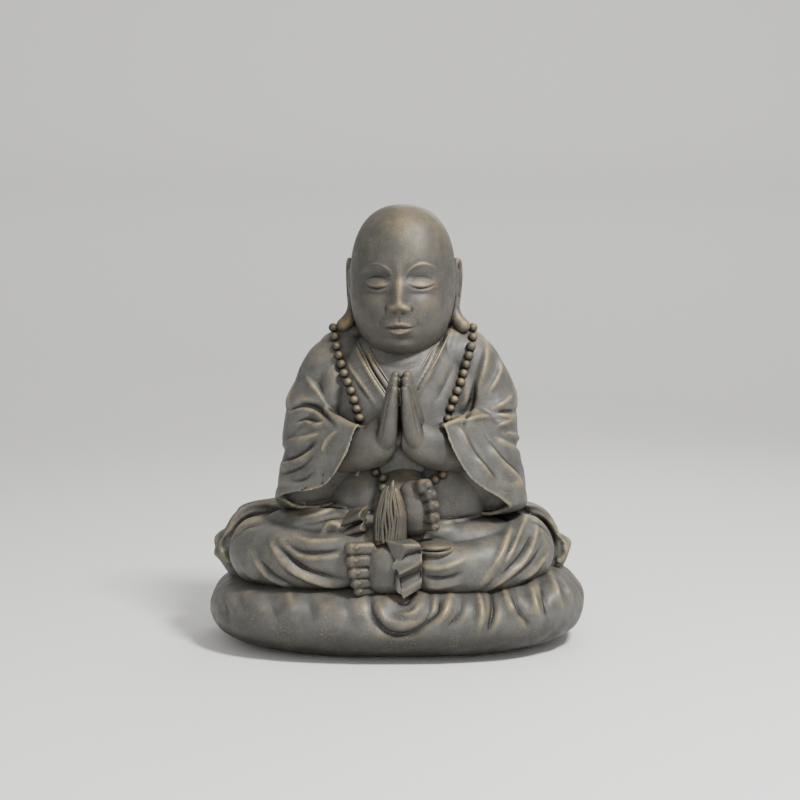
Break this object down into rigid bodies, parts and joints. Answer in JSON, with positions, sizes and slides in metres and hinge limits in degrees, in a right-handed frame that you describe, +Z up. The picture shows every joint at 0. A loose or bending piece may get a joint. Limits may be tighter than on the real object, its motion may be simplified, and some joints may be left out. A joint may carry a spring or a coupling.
{
  "type": "praying monk garden statue",
  "caption": "Cast garden statue of a bald monk seated cross-legged on a cushion, palms together, in a draped robe with a string of beads and a tassel.",
  "frame": {"origin": "centre of the cushion's flat underside, on the ground", "axes": "+X to the right of someone who faces the figure, +Y to the figure's back, +Z up"},
  "size_m": [0.439, 0.3394, 0.5031],
  "materials": {
    "antique_bronze_cast_stone": "cast stone and fibre mix under matt antique bronze paint, near black in the hollows and rubbed gold on the ridges"
  },
  "bodies": {
    "root": {"praying_statue": "antique_bronze_cast_stone"}
  },
  "joints": []
}
